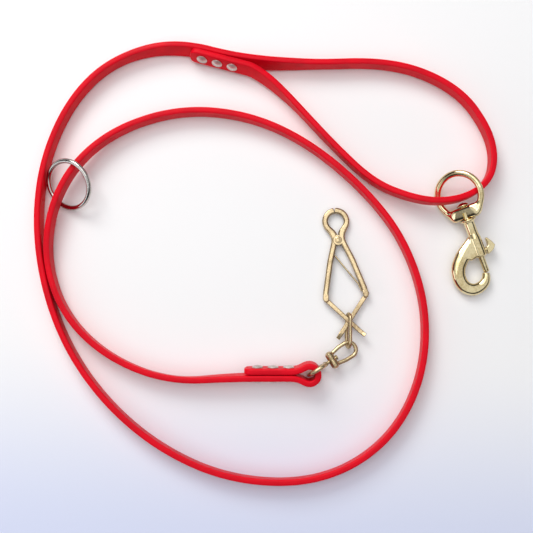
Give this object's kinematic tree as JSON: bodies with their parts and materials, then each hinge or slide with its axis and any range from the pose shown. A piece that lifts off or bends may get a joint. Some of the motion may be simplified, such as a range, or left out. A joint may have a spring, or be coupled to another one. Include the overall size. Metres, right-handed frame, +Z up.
{
  "type": "training leash",
  "caption": "Flat coated strap leash with riveted handle loop, sliding ring, swivel bolt snap, and a swivel, link and squeeze-to-open scissor clip on the other end.",
  "frame": {"origin": "middle of the laid-out leash, on the surface it lies on", "axes": "+Z up off the surface, +X along the longest extent toward the snap, +Y toward the handle"},
  "size_m": [0.3211, 0.3089, 0.022],
  "materials": {
    "strap": "satin coated webbing",
    "rivet": "polished nickel plate",
    "ring_steel": "polished nickel plate",
    "spring_steel": "drawn wire",
    "snap_brass": "polished",
    "wire_brass": "dull wire",
    "clip_brass": "satin cast"
  },
  "bodies": {
    "leash": {"strap": "strap", "handle_rivet_1_post": "rivet", "handle_rivet_1_cap": "rivet", "handle_rivet_2_post": "rivet", "handle_rivet_2_cap": "rivet", "handle_rivet_3_post": "rivet", "handle_rivet_3_cap": "rivet", "clip_end_rivet_1_post": "rivet", "clip_end_rivet_1_cap": "rivet", "clip_end_rivet_2_post": "rivet", "clip_end_rivet_2_cap": "rivet", "clip_end_rivet_3_post": "rivet", "clip_end_rivet_3_cap": "rivet"},
    "loose_ring": {"o_ring": "ring_steel"},
    "snap_ring": {"snap_eye": "snap_brass"},
    "snap_hook": {"snap_body": "snap_brass", "snap_spring": "spring_steel"},
    "snap_bolt": {"snap_plunger": "snap_brass", "snap_thumb_knob": "snap_brass"},
    "swivel_base": {"swivel_strap_eye": "wire_brass"},
    "swivel_head": {"swivel_link_eye": "wire_brass"},
    "link": {"clip_link": "wire_brass"},
    "clip_pivot": {"clip_rivet": "clip_brass"},
    "clip_left": {"clip_left_half": "clip_brass"},
    "clip_right": {"clip_right_half": "clip_brass", "clip_leaf_spring": "clip_brass"}
  },
  "joints": [
    {"name": "ring_swing", "type": "hinge", "parent": "leash", "child": "loose_ring", "pos_m": [-0.1369, 0.0513, 0.011], "axis": [0.866, -0.5, 0], "range_deg": [0, 50]},
    {"name": "snap_roll", "type": "hinge", "parent": "leash", "child": "snap_ring", "pos_m": [0.1338, 0.0432, 0.0102], "axis": [0.3403, -0.935, -0.0993], "range_deg": [0, 50]},
    {"name": "snap_swivel", "type": "hinge", "parent": "snap_ring", "child": "snap_hook", "pos_m": [0.13788, 0.03198, 0.00901], "axis": [0.3403, -0.935, -0.0993], "continuous": true},
    {"name": "snap_bolt_slide", "type": "slide", "parent": "snap_hook", "child": "snap_bolt", "axis": [-0.3403, 0.935, 0.0993], "range_m": [0, 0.011], "stiffness_N_per_m": 250, "springref_m": -0.006, "deforming": ["snap_spring"]},
    {"name": "swivel_swing", "type": "hinge", "parent": "leash", "child": "swivel_base", "pos_m": [0.0298, -0.0794, 0.0101], "axis": [0, -0.1736, 0.9848], "range_deg": [-8, 25]},
    {"name": "clip_swivel", "type": "hinge", "parent": "swivel_base", "child": "swivel_head", "pos_m": [0.0455, -0.0701, 0.0085], "axis": [0.8412, 0.5256, -0.1271], "range_deg": [0, 90]},
    {"name": "link_lift", "type": "hinge", "parent": "swivel_head", "child": "link", "pos_m": [0.05698, -0.05828, 0.00552], "axis": [0.9999, -0.0157, 0], "range_deg": [0, 80]},
    {"name": "clip_shift", "type": "slide", "parent": "link", "child": "clip_pivot", "axis": [0.1218, -0.9921, 0.0305], "range_m": [0, 0.0085]},
    {"name": "left_squeeze", "type": "hinge", "parent": "clip_pivot", "child": "clip_left", "pos_m": [0.05075, 0.01287, 0.00274], "axis": [-0.0037, 0.0303, 0.9995], "range_deg": [0, 10], "stiffness_Nm_per_rad": 0.4, "springref_deg": -2.86},
    {"name": "right_squeeze", "type": "hinge", "parent": "clip_pivot", "child": "clip_right", "pos_m": [0.05075, 0.01287, 0.00274], "axis": [0.0037, -0.0303, -0.9995], "range_deg": [0, 10], "deforming": ["clip_leaf_spring"]}
  ],
  "couplings": [
    {"joint": "right_squeeze", "follows": "left_squeeze", "ratio": 1},
    {"joint": "clip_shift", "follows": "left_squeeze", "m_per_rad": 0.048128}
  ]
}
